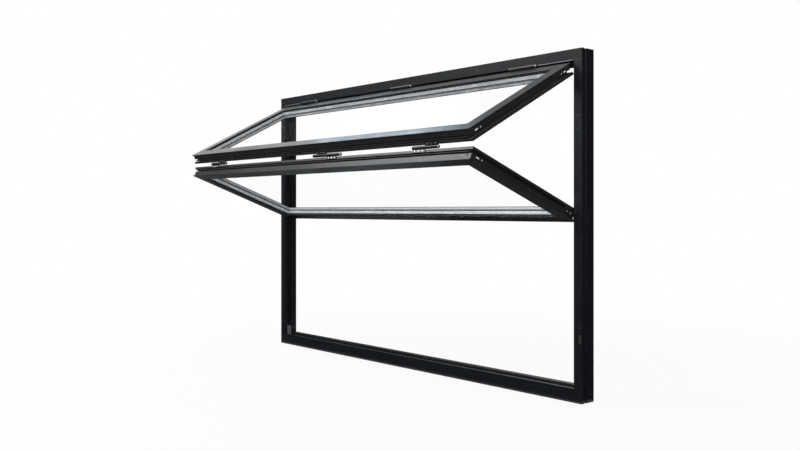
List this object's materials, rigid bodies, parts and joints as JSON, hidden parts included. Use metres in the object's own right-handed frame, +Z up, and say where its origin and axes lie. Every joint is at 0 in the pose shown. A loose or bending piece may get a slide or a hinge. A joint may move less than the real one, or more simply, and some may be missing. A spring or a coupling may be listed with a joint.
{
  "type": "fold-up bifold window",
  "caption": "Outward fold-up window: outer frame with hinged upper and lower glazed leaves, shown half open, rollers guided in jamb tracks.",
  "frame": {"origin": "middle of the sill's underside, at half the frame's depth", "axes": "+Z up, +X to the right as seen from outside, -Y towards the outside, where the leaves fold out"},
  "size_m": [1.8, 0.5723, 1.2],
  "materials": {
    "powder_coat": "satin powder coat",
    "hinge_coat": "satin",
    "glass": "clear, polished",
    "spacer": "matt",
    "rubber": "matt",
    "white_nylon": "matt",
    "grey_nylon": "matt",
    "steel": "brushed"
  },
  "bodies": {
    "root": {"frame_head": "powder_coat", "frame_sill": "powder_coat", "frame_left_jamb": "powder_coat", "frame_right_jamb": "powder_coat", "upper_top_rail": "powder_coat", "upper_bottom_rail": "powder_coat", "upper_left_stile": "powder_coat", "upper_right_stile": "powder_coat", "upper_glazing_beads": "powder_coat", "upper_outer_gasket": "rubber", "upper_inner_gasket": "rubber", "upper_outer_pane": "glass", "upper_inner_pane": "glass", "upper_spacer": "spacer", "lower_top_rail": "powder_coat", "lower_bottom_rail": "powder_coat", "lower_left_stile": "powder_coat", "lower_right_stile": "powder_coat", "lower_glazing_beads": "powder_coat", "lower_outer_gasket": "rubber", "lower_inner_gasket": "rubber", "lower_outer_pane": "glass", "lower_inner_pane": "glass", "lower_spacer": "spacer", "head_hinge_fixed_wings": "hinge_coat", "head_hinge_leaf_wings": "hinge_coat", "head_hinge_pins": "steel", "fold_hinge_upper_wings": "hinge_coat", "fold_hinge_lower_wings": "hinge_coat", "fold_hinge_pins": "steel", "left_foot_bracket": "hinge_coat", "right_foot_bracket": "hinge_coat", "left_foot_roller": "white_nylon", "right_foot_roller": "white_nylon", "left_track_shoe": "grey_nylon", "right_track_shoe": "grey_nylon", "meeting_seals": "rubber", "head_seal": "rubber", "right_jamb_cap": "grey_nylon"}
  },
  "joints": []
}
